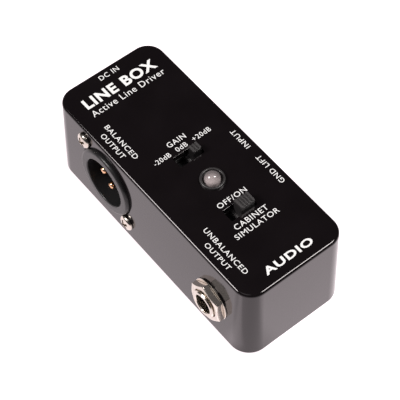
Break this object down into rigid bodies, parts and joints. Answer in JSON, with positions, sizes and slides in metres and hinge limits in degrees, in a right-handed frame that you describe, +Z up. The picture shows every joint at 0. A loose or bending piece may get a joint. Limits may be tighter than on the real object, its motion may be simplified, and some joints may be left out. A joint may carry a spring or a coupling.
{
  "type": "direct injection box",
  "caption": "Small drafted die-cast direct injection box with quarter-inch and three-pole sockets on its sides, slide switches and a lamp on top.",
  "frame": {"origin": "centre of the underside, in the plane of the bottom plate", "axes": "+X towards the input side, +Y towards the supply socket's end along the length, +Z up through the top face"},
  "size_m": [0.0454, 0.0936, 0.0348],
  "materials": {
    "gloss_paint": "gloss black stoved paint on die-cast alloy",
    "plate_paint": "satin black paint on sheet metal",
    "control_plastic": "moulded black, slightly glossy",
    "connector_plastic": "glass-filled black nylon",
    "nickel": "warm nickel plate",
    "gold_plate": "gold flash on brass",
    "steel": "zinc-plated steel",
    "milky_lens": "diffused white epoxy, unlit",
    "circuit_board": "green solder mask on glass-epoxy",
    "capacitor_sleeve": "shrunk blue sleeve",
    "film_coat": "dipped red epoxy",
    "wire_jacket": "soft wire insulation",
    "legend_ink": "white printed ink"
  },
  "bodies": {
    "box": {"enclosure": "gloss_paint", "bottom_plate": "plate_paint", "bottom_screw_1": "steel", "bottom_screw_2": "steel", "bottom_screw_3": "steel", "bottom_screw_4": "steel", "led_lead_anode": "steel", "led_lead_cathode": "steel", "gain_switch_frame": "steel", "cabinet_switch_frame": "steel", "led_bezel": "control_plastic", "xlr_housing": "connector_plastic", "xlr_insert": "connector_plastic", "dc_jack_body": "connector_plastic", "output_jack_body": "connector_plastic", "input_jack_body": "connector_plastic", "gain_switch_base": "connector_plastic", "cabinet_switch_base": "connector_plastic", "ground_lift_switch_body": "connector_plastic", "op_amp_1": "connector_plastic", "op_amp_2": "connector_plastic", "xlr_pin_1": "gold_plate", "xlr_pin_2": "gold_plate", "xlr_pin_3": "gold_plate", "xlr_screw_1": "nickel", "xlr_screw_2": "nickel", "dc_jack_pin": "nickel", "dc_jack_spring": "nickel", "output_jack_bushing": "nickel", "output_jack_washer": "nickel", "output_jack_nut": "nickel", "output_jack_tip_spring": "nickel", "output_jack_sleeve_spring": "nickel", "input_jack_bushing": "nickel", "input_jack_washer": "nickel", "input_jack_nut": "nickel", "input_jack_tip_spring": "nickel", "input_jack_sleeve_spring": "nickel", "led_lens": "milky_lens", "main_board": "circuit_board", "electrolytic_capacitor_1": "capacitor_sleeve", "electrolytic_capacitor_2": "capacitor_sleeve", "electrolytic_capacitor_3": "capacitor_sleeve", "film_capacitor_1": "film_coat", "film_capacitor_2": "film_coat", "output_wire_1": "wire_jacket", "output_wire_2": "wire_jacket", "output_wire_3": "wire_jacket", "supply_wire_1": "wire_jacket", "supply_wire_2": "wire_jacket"},
    "gain_lever": {"gain_lever": "control_plastic"},
    "cabinet_lever": {"cabinet_lever": "control_plastic"},
    "ground_lift_button": {"ground_lift_button": "control_plastic"}
  },
  "joints": [
    {"name": "gain_slide", "type": "slide", "parent": "box", "child": "gain_lever", "axis": [1, 0, 0], "range_m": [-0.0047, 0]},
    {"name": "cabinet_slide", "type": "slide", "parent": "box", "child": "cabinet_lever", "axis": [1, 0, 0], "range_m": [-0.0032, 0]},
    {"name": "ground_lift_press", "type": "slide", "parent": "box", "child": "ground_lift_button", "axis": [-1, 0, 0], "range_m": [0, 0.0025], "stiffness_N_per_m": 300}
  ]
}
